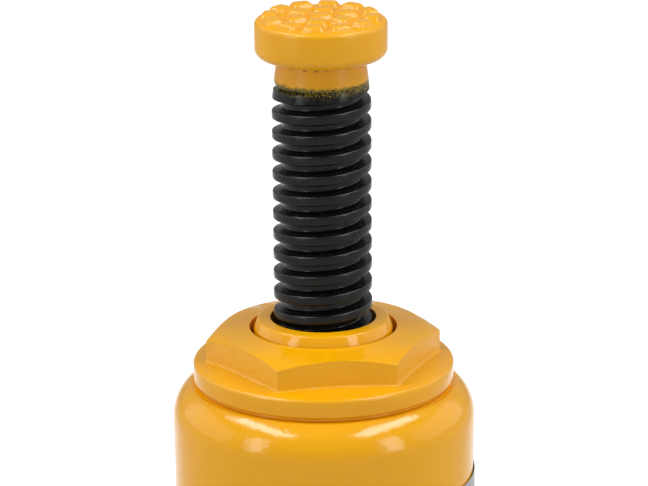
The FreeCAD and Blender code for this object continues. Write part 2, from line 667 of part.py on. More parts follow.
def make_piston():
    """Piston head with its cup seal, backing ring, washer and nut."""
    spindle = s.spindle_radius
    nut_z = s.piston_bottom + s.cup_nut_height
    washer_z = nut_z + s.cup_washer
    cup_z = washer_z + s.cup_height
    flange_low = cup_z + s.backup_ring
    slack, small = s.running_gap, s.small_break
    lip = s.bore_radius - slack
    spigot, top = s.ram_bore_radius - slack, piston_top + s.piston_spigot
    turned("piston_head", [
        (0, s.piston_bottom + small), (spindle - small, s.piston_bottom + small),
        (spindle, s.piston_bottom + small * 2), (spindle, flange_low), (lip, flange_low),
        (lip, piston_top), (spigot, piston_top), (spigot, top - small), (spigot - small, top),
        (0, top)])
    ring("backup_ring", spindle + slack, lip, cup_z, flange_low)
    hollow_z = washer_z + s.cup_height * 0.4
    turned("ram_cup_seal", [
        (spindle + slack, washer_z), (lip - s.cup_lip, washer_z), (lip - s.cup_lip, hollow_z),
        (lip - s.cup_lip * 0.5, hollow_z), (lip - small, washer_z), (lip, washer_z + small),
        (lip, cup_z), (spindle + slack, cup_z)])
    ring("cup_washer", spindle + slack, lip - s.cup_lip - s.side_gap, nut_z, washer_z)
    body = new_body("cup_nut")
    sketch = new_sketch(body, "XY", lift=s.piston_bottom)
    draw_hexagon(sketch, (spindle + s.cup_nut_wall) * 2)
    draw_circle(sketch, 0, 0, spindle + s.thread_gap)
    extruded(body, "Pad", sketch, s.cup_nut_height)


# Extension screw and its stop ring

def make_screw():
    """Forged screw with a trapezoidal thread, and the knobbed saddle in one piece with it."""
    body = new_body("extension_screw")
    minor, neck = s.screw_radius - s.thread_depth, s.screw_radius - s.neck_step
    small, edge = s.small_break, s.edge_break
    under_z = s.ram_top + s.screw_out
    neck_z, neck_top = under_z - s.neck_length, under_z - edge
    neck_waist = neck - s.side_gap
    rim_z = under_z + s.saddle_height
    saddle, under_round = s.screw_radius + s.saddle_overhang, s.saddle_under_round
    spun(body, "Revolution", [
        (0, screw_land), (minor, screw_land), (minor, neck_z), (neck - edge, neck_z, edge, 1),
        (neck, neck_z + edge),
        (neck_waist, neck_top, edge, -1), (neck_waist + edge, under_z),
        (saddle - under_round, under_z, under_round, 1), (saddle, under_z + under_round),
        (saddle, rim_z - s.saddle_rim_round, s.saddle_rim_round, 1),
        (saddle - s.saddle_rim_round, rim_z), (0, rim_z)])
    low = thread_start_z(screw_land - s.screw_pitch)
    helix_of(body, "AdditiveHelix", thread_outline(minor - small, s.screw_radius, s.crest_width, low),
             neck_z - low)
    # the thread runs out below the neck and above the stop ring's seat
    reach = s.screw_radius + edge
    spun(body, "Groove", [
        (neck, neck_z + edge), (reach, neck_z - small), (reach, neck_top - small),
        (neck, neck_top - small)])
    below = screw_land - s.screw_pitch * 2
    spun(body, "Groove", [
        (0, below), (reach, below), (reach, screw_land + edge), (minor, screw_land), (0, screw_land)])
    seat, ring_z = minor - s.stop_seat_depth, screw_bottom + s.stop_land
    spun(body, "Revolution", [
        (0, screw_bottom), (minor - small, screw_bottom), (minor, screw_bottom + small),
        (minor, ring_z), (seat, ring_z), (seat, screw_land + small), (0, screw_land + small)])
    make_knobs(body, rim_z, saddle - s.saddle_rim_round)
    play = s.running_gap
    ring("stop_ring", seat + play, s.ram_bore_radius - s.side_gap, ring_z + play, screw_land - play)


def make_knobs(body, rim_z, face_radius):
    """Rows of tapered knobs on the saddle's face, so that the load can't slide off."""
    half = s.knob_width * 0.5
    across, along_y = cosine(s.knob_turn), sine(s.knob_turn)
    for step, count in ((0, 1), (1, 6), (2, 12)):
        sketch = new_sketch(body, "XY", lift=rim_z)
        near, far = s.knob_pitch * step - half, s.knob_pitch * step + half
        corners = [(near, -half), (far, -half), (far, half), (near, half)]
        draw(sketch, [(out * across - side * along_y, out * along_y + side * across)
                      for out, side in corners])
        knob = extruded(body, "Pad", sketch, s.knob_height)
        knob.setExpression("TaperAngle", (-s.knob_draft).text)
        if count > 1:
            repeated(body, "knob_ring", knob, sketch, count)
    # the outer knobs end at the face's rounded rim
    reach, top = s.screw_radius + s.saddle_overhang * 2, rim_z + s.knob_height
    lean = s.small_break * 2
    spun(body, "Groove", [
        (face_radius, rim_z), (reach, rim_z), (reach, top + lean), (face_radius - lean, top + lean),
        (face_radius - lean, top)])


# Pump

def make_pump():
    """Pump body screwed in the base, with the plunger, its seals and its copper washer."""
    x = s.pump_x
    hex_low, hex_high = s.pump_boss_top, s.pump_boss_top + s.pump_hex_height
    barrel, thread = s.pump_barrel_radius, s.pump_thread_radius
    slack = s.plunger_radius + s.running_gap
    wiper_z = s.pump_top - s.plunger_wiper_height
    seal_top = wiper_z - s.seal_spacing
    seal_z = seal_top - s.plunger_seal_height
    edge, bevel, play = s.edge_break, s.pump_top_bevel, s.running_gap
    body = new_body("pump_body", x=x)
    spun(body, "Revolution", [
        (0, pump_z), (thread - edge, pump_z), (thread, pump_z + edge), (thread, hex_low),
        (barrel, hex_low), (barrel, s.pump_top - bevel), (barrel - bevel, s.pump_top),
        (0, s.pump_top)])
    sketch = new_sketch(body, "XY", lift=hex_low)
    draw_hexagon(sketch, s.pump_hex_flats, s.pump_hex_turn)
    extruded(body, "Pad", sketch, s.pump_hex_height)
    seal = s.plunger_radius + s.plunger_seal_width
    above = s.pump_top + edge
    spun(body, "Groove", [
        (0, pump_z - edge), (slack, pump_z - edge), (slack, seal_z), (seal, seal_z),
        (seal, seal_top), (slack, seal_top), (slack, wiper_z), (seal, wiper_z), (seal, above),
        (0, above)])
    bevelled_top(body, corner_radius(s.pump_hex_flats), hex_high, s.hex_bevel_drop)
    ring("pump_washer", slack + s.small_break, thread - s.side_gap, s.chamber_floor, pump_z, x=x)
    ring("plunger_seal", slack, seal - play, seal_z + play, seal_top - play, x=x)
    lip_z = s.pump_top + s.small_break
    turned("plunger_wiper", [
        (slack, wiper_z), (seal - play, wiper_z), (seal - play, s.pump_top - s.side_gap),
        (slack + s.small_break, lip_z), (slack, lip_z)], x=x)
    cage_z = suction_ball_z + s.check_ball_radius + s.check_lift + s.ball_gap
    ring("suction_cage", s.check_ball_radius * 0.6, s.plunger_radius, cage_z,
         cage_z + s.cage_thickness, x=x)


def make_plunger():
    """Ground plunger with a flattened eye for the lever's pin."""
    body = new_body("plunger", x=s.pump_x)
    r, edge, top = s.plunger_radius, s.edge_break, plunger_pin_z
    spun(body, "Revolution", [
        (0, s.plunger_bottom), (r - edge, s.plunger_bottom), (r, s.plunger_bottom + edge), (r, top),
        (0, top)])
    eye = new_sketch(body, "XZ")
    round_r = s.eye_radius
    low = top - round_r - edge
    draw(eye, [
        (-r, low), (r, low), (round_r, low + edge), (round_r, top, round_r, 1),
        (0, top + round_r, round_r, 1), (-round_r, top), (-round_r, low + edge)])
    extruded(body, "Pad", eye, s.eye_half_width * 2, midplane=True)
    # flats at the eye, so that it goes between the socket's ears
    flats = new_sketch(body, "YZ")
    flat_z = s.pump_top + s.small_break + s.side_gap * 0.5
    inside, outside = s.eye_half_width, r + edge
    draw_box(flats, -outside, flat_z, -inside, top + edge)
    draw_box(flats, inside, flat_z, outside, top + edge)
    extruded(body, "Pocket", flats, outside * 2, midplane=True)
    hole = new_sketch(body, "XZ")
    draw_circle(hole, 0, plunger_pin_z, s.pin_radius + s.running_gap)
    extruded(body, "Pocket", hole, r * 4, midplane=True)


# Lever: handle socket, link plates, pins and clips

def make_socket():
    """Cast handle socket: a tube for the handle, and two ears for the plunger and the links."""
    body = new_body("handle_socket", x=s.pump_x, z=plunger_pin_z, turn=s.socket_rest, axis=(0, -1, 0))
    # from the plunger's pin, the fulcrum lies at this angle in the socket's own frame
    lean = 180 - s.half_swing - s.socket_rest
    fulcrum = (s.arm * cosine(lean), s.arm * sine(lean))
    eye, end = s.plunger_eye_round, s.fulcrum_round
    spread = Size(math.degrees(math.acos((eye.value - end.value) / s.arm.value)),
                  "acos((%s - %s) / %s) / 1deg" % (eye.text, end.text, s.arm.text))
    low, high = lean + spread, lean - spread
    tube, start = s.socket_bore_radius + s.socket_wall, s.root_start
    ear_end, rise, edge = start + s.ear_run, s.ear_rise, s.edge_break
    ears = new_sketch(body, "XZ")
    draw(ears, [
        (ear_end, rise - tube), (0, -eye, eye, -1), (eye * cosine(low), eye * sine(low)),
        (fulcrum[0] + end * cosine(low), fulcrum[1] + end * sine(low), end, -1),
        (fulcrum[0] + end * cosine(lean), fulcrum[1] + end * sine(lean), end, -1),
        (fulcrum[0] + end * cosine(high), fulcrum[1] + end * sine(high)),
        (start, tube), (ear_end, tube - edge)])
    extruded(body, "Pad", ears, s.ear_half_width * 2, midplane=True)
    gap = new_sketch(body, "XZ")
    reach = s.arm + end + edge
    draw_box(gap, -reach, -reach, start, reach)
    extruded(body, "Pocket", gap, (s.eye_half_width + s.side_gap) * 2, midplane=True)
    mouth = s.socket_length
    rim = tube + s.socket_rim
    rim_x = mouth - s.socket_rim_width
    spun(body, "Revolution", [
        (start, 0), (mouth, 0), (mouth, rim - edge), (mouth - edge, rim), (rim_x, rim),
        (rim_x - s.socket_rim, tube), (start + s.root_length, tube), (start, tube - s.root_step)],
        about="H_Axis")
    inner = mouth - s.socket_bore_depth
    bore = s.socket_bore_radius
    spun(body, "Groove", [
        (inner - bore * 0.4, 0), (mouth + edge, 0), (mouth + edge, bore + edge * 2),
        (mouth - edge, bore), (inner, bore)], about="H_Axis")
    pins = new_sketch(body, "XZ")
    draw_circle(pins, 0, 0, s.pin_radius + s.running_gap)
    draw_circle(pins, fulcrum[0], fulcrum[1], s.pin_radius + s.running_gap)
    extruded(body, "Pocket", pins, s.ear_half_width * 2 + 1, midplane=True)


def make_links():
    """Two pressed link plates between the base's lug and the socket's ears."""
    inner = s.ear_half_width + s.side_gap
    half = s.link_half_width
    for label, side in (("link_plate_left", -1), ("link_plate_right", 1)):
        body = new_body(label, x=fulcrum_x, y=side * (inner + s.link_thickness * 0.5), z=s.base_pin_z)
        plate = new_sketch(body, "XZ")
        draw(plate, [
            (-half, 0, half, 1), (0, -half, half, 1), (half, 0), (half, link_length, half, 1),
            (0, link_length + half, half, 1), (-half, link_length)])
        for z in (0, link_length):
            draw_circle(plate, 0, z, s.pin_radius + s.running_gap)
        extruded(body, "Pad", plate, s.link_thickness, midplane=True)


def make_pin(label, clip_label, x, z, reach):
    """A plain pin along Y with a retaining clip in a groove at each end."""
    body = new_body(label, x=x, z=z)
    r = s.pin_radius
    clip = reach + s.side_gap * 0.5
    outer = clip + s.clip_thickness
    end = outer + s.pin_end
    neck, edge = r - s.clip_groove, s.small_break
    half = [(neck, clip), (neck, outer), (r, outer), (r, end - edge), (r - edge, end), (0, end)]
    mirror = [
        (0, -end), (r - edge, -end), (r, edge - end), (r, -outer), (neck, -outer), (neck, -clip)]
    spun(body, "Revolution", mirror + [(r, -clip), (r, clip)] + half, plane="XY", about="V_Axis")
    clips = new_body(clip_label, x=x, z=z)
    for side in (-1, 1):
        low, high = (clip, outer) if side > 0 else (-outer, -clip)
        spun(clips, "Revolution", [
            (neck + s.running_gap, low), (r + s.clip_width, low), (r + s.clip_width, high),
            (neck + s.running_gap, high)], plane="XY", about="V_Axis")


# Release valve

def make_release_valve():
    """Release screw with its ring and steel ball, in the angled boss beside the pump."""
    place = dict(z=s.valve_z, turn=s.valve_angle, axis=(0, 0, -1))
    tip = valve_ball_x + s.valve_ball_radius + s.ball_gap
    thread, face, knob = s.valve_thread_radius, s.valve_face, s.valve_knob_radius
    ring_x, seat = face - s.valve_ring_depth, thread - s.valve_ring_seat
    ring_end, shank = ring_x + s.valve_ring_width, face + s.valve_shank
    end = shank + s.valve_knob_length
    edge, small = s.edge_break, s.small_break
    start, nose = s.valve_thread_start + s.side_gap, s.valve_ball_radius - s.side_gap
    body = new_body("release_screw", **place)
    spun(body, "Revolution", [
        (tip, 0), (end, 0), (end, knob - edge), (end - edge, knob), (shank + small, knob),
        (shank, thread + edge), (face + small, thread + edge), (face + small, thread),
        (ring_end, thread), (ring_end, seat), (ring_x, seat), (ring_x, thread),
        (start + edge, thread), (start, thread - edge), (start, nose), (tip, nose)],
        about="H_Axis")
    # slot across the knob for the end of the handle
    slot = new_sketch(body, "XY")
    half = s.valve_slot * 0.5
    draw_box(slot, end - s.valve_slot_depth, -half, end + edge, half)
    extruded(body, "Pocket", slot, (knob + edge) * 2, midplane=True)
    # ten grip notches round the knob
    sketch = new_sketch(body, "YZ", lift=shank - small)
    draw_circle(sketch, 0, knob + s.notch_offset, s.notch_radius)
    notch = extruded(body, "Pocket", sketch, s.valve_knob_length + edge, reverse=True)
    repeated(body, "grip_notches", notch, sketch, 10)
    seal = new_body("release_ring", **place)
    play = s.running_gap
    low, high = ring_x + play, ring_end - play
    spun(seal, "Revolution", [
        (low, seat + play), (high, seat + play), (high, thread), (low, thread)], about="H_Axis")
    ball("release_ball", s.valve_ball_radius, x=valve_ball_x * cosine(s.valve_angle),
         y=-valve_ball_x * sine(s.valve_angle), z=s.valve_z)


# Check valves, relief valve, strainer and plugs

def make_valves():
    """Suction, discharge and relief valves: balls on drilled seats, with springs over two."""
    ball("suction_ball", s.check_ball_radius, x=s.pump_x, z=suction_ball_z)
    ball("discharge_ball", s.check_ball_radius, y=s.discharge_y, z=discharge_ball_z)
    bore = s.check_ball_radius - s.spring_wire
    thread = s.pocket_radius - s.thread_gap
    edge, play = s.edge_break, s.side_gap
    spring_low = discharge_ball_z + s.check_ball_radius
    spring_high = s.cage_top - edge
    cage = s.ram_floor - s.cage_depth
    body = turned("discharge_cage", [
        (bore, cage), (thread, cage), (thread, s.ram_floor), (s.cage_flange, s.ram_floor),
        (s.cage_flange, s.cage_top), (edge, s.cage_top), (edge, spring_high), (bore, spring_high)],
        y=s.discharge_y)
    flats = new_sketch(body, "XY", lift=s.ram_floor)
    draw_hexagon(flats, s.cage_flange * 1.8)
    draw_circle(flats, 0, 0, s.cage_flange + edge)
    extruded(body, "Pocket", flats, s.cage_top - s.ram_floor, reverse=True)
    coil("discharge_spring", bore - s.spring_wire - play, s.spring_wire, spring_low, spring_high, 4,
         y=s.discharge_y)
    x, y = s.relief_x, s.relief_y
    ball("relief_ball", s.relief_ball_radius, x=x, y=y, z=relief_ball_z)
    screw_z, screw_top = s.relief_screw_z, s.relief_screw_z + s.relief_screw_height
    coil("relief_spring", s.relief_ball_radius - s.spring_wire, s.spring_wire,
         relief_ball_z + s.relief_ball_radius, screw_z, 5, x=x, y=y)
    screw = turned("relief_screw", [
        (0, screw_z), (s.relief_radius, screw_z), (s.relief_radius, screw_top), (0, screw_top)],
        x=x, y=y)
    slot = new_sketch(screw, "XZ")
    draw_box(slot, -s.relief_slot * 0.5, screw_top - s.relief_slot, s.relief_slot * 0.5,
             screw_top + edge)
    extruded(screw, "Pocket", slot, (s.relief_radius + edge) * 2, midplane=True)
    cap_low = screw_top + s.small_break
    cap = turned("relief_cap", [
        (0, cap_low), (s.relief_radius, cap_low), (s.relief_radius, s.relief_top),
        (0, s.relief_top)], x=x, y=y)
    head = new_sketch(cap, "XY", lift=s.relief_top)
    draw_hexagon(head, s.relief_head_flats, s.relief_turn)
    extruded(cap, "Pad", head, s.relief_head)
    bevelled_top(cap, corner_radius(s.relief_head_flats), s.relief_top + s.relief_head,
                 s.hex_bevel_drop)
    r, port, wall = s.strainer_radius, s.check_port_radius, s.strainer_wall
    floor, top = s.sump_floor, s.sump_floor + s.strainer_height
    turned("suction_strainer", [
        (port, floor), (r, floor), (r, top), (0, top), (0, top - wall), (r - wall, top - wall),
        (r - wall, floor + wall), (port, floor + wall)], x=s.intake_x)
    plugs = new_body("gallery_plugs")
    length = s.gallery_plug_length
    for plane, lift, x, z, flip in (
            ("YZ", s.base_front, 0, s.suction_z, True),
            ("YZ", s.base_front, s.discharge_y, s.discharge_z, True),
            ("XZ", -s.base_half_width, s.relief_x, s.discharge_z, False)):
        away = -s.gallery_plug_depth if flip else s.gallery_plug_depth
        sketch = new_sketch(plugs, plane, lift=lift + away)
        draw_circle(sketch, x, z, s.gallery_plug_radius)
        extruded(plugs, "Pad", sketch, length, reverse=flip)


def make_filler_plug():
    """Rubber filler plug, pushed in the reservoir's side where the oil level stands."""
    shank, head, dome = s.plug_hole_radius - s.running_gap, s.plug_head_radius, s.plug_head_round
    # depths along Y, from the head's face through the tube's wall to the barb
    face = -(s.reservoir_radius + s.plug_head)
    under = -(s.reservoir_radius + s.side_gap * 1.5)
    grip = -(inner_wall - s.small_break)
    barb = grip + s.plug_barb
    end = grip + s.plug_length
    body = new_body("filler_plug", z=s.plug_z)
    spun(body, "Revolution", [
        (0, face), (head - dome, face, dome, 1), (head, face + dome), (head, under),
        (shank, under), (shank, grip), (shank + s.plug_barb, barb), (shank - s.plug_barb, end),
        (0, end)], plane="XY", about="V_Axis")


make_base()
make_reservoir()
make_cylinder()
make_top_nut()
make_ram()
make_piston()
make_screw()
make_pump()
make_plunger()
make_socket()
make_links()
pin_side = s.ear_half_width + s.side_gap + s.link_thickness
make_pin("plunger_pin", "plunger_pin_clips", s.pump_x, plunger_pin_z, s.ear_half_width)
make_pin("fulcrum_pin", "fulcrum_pin_clips", fulcrum_x, fulcrum_z, pin_side)
make_pin("base_pin", "base_pin_clips", fulcrum_x, s.base_pin_z, pin_side)
make_release_valve()
make_valves()
make_filler_plug()


# Checks, then one file for each piece

doc.recompute()
faults = ["%s: %s" % (item.Name, item.State) for item in doc.Objects
          if "Invalid" in item.State or "Error" in item.State]
pieces = [item for item in doc.Objects if item.TypeId == "PartDesign::Body"]
faults += [piece.Label + ": empty or not valid" for piece in pieces
           if piece.Shape.isNull() or not piece.Shape.isValid()]
if faults:
    raise RuntimeError("; ".join(faults))
os.makedirs("parts", exist_ok=True)
for piece in pieces:
    piece.Shape.exportStep("parts/%s.step" % piece.Label)
    print(piece.Label, len(piece.Shape.Solids), round(piece.Shape.Volume, 1))
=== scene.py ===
import math

import bmesh
import bpy
from mathutils import Matrix, Vector


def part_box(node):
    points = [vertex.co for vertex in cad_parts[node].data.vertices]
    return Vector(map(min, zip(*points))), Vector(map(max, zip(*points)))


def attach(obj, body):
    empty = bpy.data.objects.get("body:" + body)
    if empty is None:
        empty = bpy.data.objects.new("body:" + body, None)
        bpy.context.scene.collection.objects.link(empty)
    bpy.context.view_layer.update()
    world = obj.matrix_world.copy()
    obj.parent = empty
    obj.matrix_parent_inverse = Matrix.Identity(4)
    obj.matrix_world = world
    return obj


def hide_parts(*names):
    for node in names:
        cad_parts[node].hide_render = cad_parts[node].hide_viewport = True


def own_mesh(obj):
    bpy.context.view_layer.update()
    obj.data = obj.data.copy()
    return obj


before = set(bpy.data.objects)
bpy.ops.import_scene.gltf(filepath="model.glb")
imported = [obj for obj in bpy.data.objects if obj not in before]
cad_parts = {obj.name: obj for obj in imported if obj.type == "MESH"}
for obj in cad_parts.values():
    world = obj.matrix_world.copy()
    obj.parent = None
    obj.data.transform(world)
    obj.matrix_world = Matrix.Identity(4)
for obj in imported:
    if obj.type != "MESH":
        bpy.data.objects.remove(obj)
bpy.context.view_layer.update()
MM = 0.001


# Base: a sand casting with the reservoir's collar, the pump's boss and the valves' bosses. It is
# shot-blasted and sprayed with the rest, so its gloss enamel lies over lumps and pores and has
# rounded every edge.

def linear(code):
    """An sRGB hex colour as linear red, green, blue and alpha."""
    parts = [int(code[i:i + 2], 16) / 255 for i in (0, 2, 4)]
    return [c / 12.92 if c <= 0.04045 else ((c + 0.055) / 1.055) ** 2.4 for c in parts] + [1]


def add_node(material, kind, inputs=None, **settings):
    """Adds a node. Its inputs go by name or by number. A node or a socket is linked to its input,
    and any other value is set."""
    node = material.node_tree.nodes.new(kind)
    for name, value in settings.items():
        setattr(node, name, value)
    for name, value in (inputs or {}).items():
        socket = node.inputs[name] if isinstance(name, int) else next(
            i for i in node.inputs if i.enabled and i.name == name)
        if isinstance(value, bpy.types.Node):
            value = next(o for o in value.outputs if o.enabled)
        if isinstance(value, bpy.types.NodeSocket):
            material.node_tree.links.new(value, socket)
        else:
            socket.default_value = value
    return node


def new_material(name):
    """An empty material, and the point on the piece that its patterns are fixed to."""
    material = bpy.data.materials.new(name)
    material.use_nodes = True
    material.node_tree.nodes.clear()
    return material, add_node(material, "ShaderNodeTexCoord").outputs["Object"]


def set_surface(material, shader):
    """Gives a material the shader that it shows."""
    add_node(material, "ShaderNodeOutputMaterial", {"Surface": shader})


def enamel_shader(material, spot, cast_mm=0.0, rough=0.1):
    """Sprayed gloss enamel: a yellow pigment under a clear gloss, with orange peel 1 mm across and
    a few dust nibs. Over a casting, lumps and pores of cast_mm show through."""
    broad = add_node(material, "ShaderNodeTexNoise", {
        "Vector": spot, "Scale": 1 / (6 * MM), "Detail": 3.0, "Roughness": 0.6})
    normal = add_node(material, "ShaderNodeBump", {
        "Height": broad, "Distance": (0.03 + cast_mm) * MM})
    peel = add_node(material, "ShaderNodeTexNoise", {
        "Vector": spot, "Scale": 1 / (1.3 * MM), "Detail": 2.0})
    normal = add_node(material, "ShaderNodeBump", {
        "Height": peel, "Distance": (0.07 + cast_mm * 0.3) * MM, "Normal": normal})
    nibs = add_node(material, "ShaderNodeTexVoronoi", {"Vector": spot, "Scale": 1 / (4.2 * MM)})
    bead = add_node(material, "ShaderNodeMapRange", {
        "Value": nibs, "From Max": 0.06, "To Min": 1.0, "To Max": 0.0}, interpolation_type="SMOOTHSTEP")
    normal = add_node(material, "ShaderNodeBump", {
        "Height": bead, "Distance": 0.05 * MM, "Normal": normal})
    cloud = add_node(material, "ShaderNodeTexNoise", {"Vector": spot, "Scale": 1 / (24 * MM)})
    colour = add_node(material, "ShaderNodeMix", {
        "Factor": cloud, "A": linear("e9a300"), "B": linear("f1ad04")}, data_type="RGBA")
    haze = add_node(material, "ShaderNodeMapRange", {
        "Value": broad, "From Min": 0.3, "From Max": 0.7, "To Min": rough, "To Max": rough + 0.08})
    return add_node(material, "ShaderNodeBsdfPrincipled", {
        "Base Color": colour, "Roughness": haze, "Normal": normal})


def add_piece(name, bm, material, body, replaces=(), sharp_deg=35):
    """Makes the finished piece of a mesh, fixes it to its body and hides the construction nodes that it
    replaces.
    """
    mesh = bpy.data.meshes.new(name)
    bm.to_mesh(mesh)
    bm.free()
    mesh.shade_smooth()
    mesh.set_sharp_from_angle(angle=math.radians(sharp_deg))
    mesh.materials.append(material)
    piece = bpy.data.objects.new(name, mesh)
    bpy.context.scene.collection.objects.link(piece)
    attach(piece, body)
    if replaces:
        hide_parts(*replaces)
    return piece


def own_shape(node):
    """A construction node's mesh, with its facets joined to whole faces."""
    bm = bmesh.new()
    bm.from_mesh(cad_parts[node].data)
    bmesh.ops.remove_doubles(bm, verts=bm.verts[:], dist=0.002 * MM)
    bmesh.ops.dissolve_limit(bm, angle_limit=math.radians(0.5), verts=bm.verts[:], edges=bm.edges[:])
    return bm


def softened(node, name, material, body, round_mm, bm=None):
    """A construction node's shape, its own unless one is given, with the edges that blasting,
    tumbling and paint round."""
    bm = bm or own_shape(node)
    bmesh.ops.recalc_face_normals(bm, faces=bm.faces[:])
    piece = add_piece(name, bm, material, body, [node])
    edges = piece.modifiers.new("rounded_edges", "BEVEL")
    edges.width = round_mm * MM
    edges.segments = 3
    edges.angle_limit = math.radians(28)
    edges.harden_normals = True
    return piece


cast_enamel, on_cast = new_material("gloss_enamel_on_blasted_casting")
set_surface(cast_enamel, enamel_shader(cast_enamel, on_cast, cast_mm=0.1))
softened("base", "base_casting", cast_enamel, "body", 0.7)


# Pressure cylinder and the turned parts inside: honed or turned steel with fine lathe marks
# round the axis. The cylinder stands on a copper washer.

def dress(material, *nodes):
    """Gives construction nodes that are seen as they are their finish."""
    for node in nodes:
        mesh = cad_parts[node].data
        mesh.materials.clear()
        mesh.materials.append(material)


def turned_shader(material, spot, light, dark, lines_mm, rough):
    """Bare steel as a lathe leaves it: lines across the axis, and a film of oil in patches."""
    place = add_node(material, "ShaderNodeSeparateXYZ", {"Vector": spot}).outputs["Z"]
    lines = add_node(material, "ShaderNodeTexNoise", {
        "W": place, "Scale": 1 / (lines_mm * MM), "Detail": 3.0}, noise_dimensions="1D")
    film = add_node(material, "ShaderNodeTexNoise", {
        "Vector": spot, "Scale": 1 / (7 * MM), "Detail": 3.0})
    colour = add_node(material, "ShaderNodeMix", {
        "Factor": film, "A": linear(dark), "B": linear(light)}, data_type="RGBA")
    gloss = add_node(material, "ShaderNodeMapRange", {
        "Value": film, "From Min": 0.3, "From Max": 0.7, "To Min": rough, "To Max": rough + 0.16})
    normal = add_node(material, "ShaderNodeBump", {"Height": lines, "Distance": 0.006 * MM})
    return add_node(material, "ShaderNodeBsdfPrincipled", {
        "Base Color": colour, "Metallic": 1.0, "Roughness": gloss, "Normal": normal})


turned_steel, on_turned = new_material("turned_steel")
set_surface(turned_steel, turned_shader(turned_steel, on_turned, "b9b9bb", "8e8f92", 0.3, 0.26))
dress(turned_steel, "pressure_cylinder", "piston_head", "cup_nut", "cup_washer", "stop_ring",
      "relief_screw", "discharge_cage", "suction_cage")
copper, on_copper = new_material("annealed_copper")
set_surface(copper, turned_shader(copper, on_copper, "c98a63", "8f5238", 0.6, 0.34))
dress(copper, "cylinder_washer", "pump_washer")


# Reservoir: a drawn steel tube, 74 mm across, whose top is spun in to a rounded shoulder. It is
# clamped between the base and the nut and sprayed with them, so its enamel is smooth and wet.

smooth_enamel, on_smooth = new_material("gloss_enamel_on_smooth_steel")
set_surface(smooth_enamel, enamel_shader(smooth_enamel, on_smooth))
softened("reservoir", "reservoir_tube", smooth_enamel, "body", 0.3)
softened("shoulder_gasket", "shoulder_gasket_painted", smooth_enamel, "body", 0.3)


def rubber_shader(material, spot):
    """Moulded nitrile rubber: black, matt and finely grained, with a bloom of dust."""
    grain = add_node(material, "ShaderNodeTexNoise", {
        "Vector": spot, "Scale": 1 / (0.5 * MM), "Detail": 2.0})
    dust = add_node(material, "ShaderNodeTexNoise", {
        "Vector": spot, "Scale": 1 / (5 * MM), "Detail": 3.0})
    colour = add_node(material, "ShaderNodeMix", {
        "Factor": dust, "A": linear("161616"), "B": linear("302e2b")}, data_type="RGBA")
    normal = add_node(material, "ShaderNodeBump", {"Height": grain, "Distance": 0.02 * MM})
    return add_node(material, "ShaderNodeBsdfPrincipled", {
        "Base Color": colour, "Roughness": 0.62, "Normal": normal})


nitrile, on_nitrile = new_material("nitrile_rubber")
set_surface(nitrile, rubber_shader(nitrile, on_nitrile))
dress(nitrile, "reservoir_seal", "ram_wiper", "plunger_seal", "plunger_wiper", "release_ring",
      "ram_cup_seal")
nylon, on_nylon = new_material("white_nylon")
weld = add_node(nylon, "ShaderNodeTexNoise", {"Vector": on_nylon, "Scale": 1 / (4 * MM)})
ivory = add_node(nylon, "ShaderNodeMix", {
    "Factor": weld, "A": linear("d9d6cb"), "B": linear("e8e6de")}, data_type="RGBA")
set_surface(nylon, add_node(nylon, "ShaderNodeBsdfPrincipled", {
    "Base Color": ivory, "Roughness": 0.42, "Subsurface Weight": 0.1, "Subsurface Scale": 0.5 * MM}))
dress(nylon, "backup_ring")


# Label: a bare sheet of satin aluminium foil, glued round the reservoir on the side away from
# the pump, 90 mm tall and a little over half the way round.

foil, on_foil = new_material("satin_aluminium_foil")
roll = add_node(foil, "ShaderNodeMapping", {"Vector": on_foil, "Scale": (1.0, 1.0, 0.08)})
streaks = add_node(foil, "ShaderNodeTexNoise", {
    "Vector": roll, "Scale": 1 / (0.7 * MM), "Detail": 3.0})
bubbles = add_node(foil, "ShaderNodeTexNoise", {
    "Vector": on_foil, "Scale": 1 / (14 * MM), "Detail": 1.0})
grey = add_node(foil, "ShaderNodeMix", {
    "Factor": streaks, "A": linear("a8a9ab"), "B": linear("c3c3c4")}, data_type="RGBA")
foil_normal = add_node(foil, "ShaderNodeBump", {"Height": streaks, "Distance": 0.003 * MM})
foil_normal = add_node(foil, "ShaderNodeBump", {
    "Height": bubbles, "Distance": 0.12 * MM, "Normal": foil_normal})
set_surface(foil, add_node(foil, "ShaderNodeBsdfPrincipled", {
    "Base Color": grey, "Metallic": 0.85, "Roughness": 0.42, "Normal": foil_normal}))


tank_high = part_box("reservoir")[1] / MM
glue_gap = 0.02
shoulder_to_label = 22.5
label_height = 90
label_thickness = 0.12
label_wrap = math.radians(200)
inner_r = tank_high.x + glue_gap
outer_r = inner_r + label_thickness
label_top = tank_high.z - shoulder_to_label
label_foot = label_top - label_height
label = bmesh.new()
label.faces.new([label.verts.new((across * MM, 0, height * MM)) for across, height in (
    (inner_r, label_foot), (outer_r, label_foot), (outer_r, label_top), (inner_r, label_top))])
bmesh.ops.rotate(label, verts=label.verts[:], cent=(0, 0, 0),
                 matrix=Matrix.Rotation(math.pi - label_wrap / 2, 3, "Z"))
bmesh.ops.spin(label, geom=label.faces[:], cent=(0, 0, 0), axis=(0, 0, 1), dvec=(0, 0, 0),
               angle=label_wrap, steps=100, use_merge=False, use_normal_flip=False,
               use_duplicate=False)
bmesh.ops.holes_fill(label, edges=[edge for edge in label.edges if edge.is_boundary], sides=4)
bmesh.ops.recalc_face_normals(label, faces=label.faces[:])
add_piece("label_foil", label, foil, "body")


# Top nut: a turned flange and a hexagon in one piece, screwed down over the reservoir's shoulder.
# Its corners are turned off at the top, the forged faces are pitted, and the enamel rounds them.

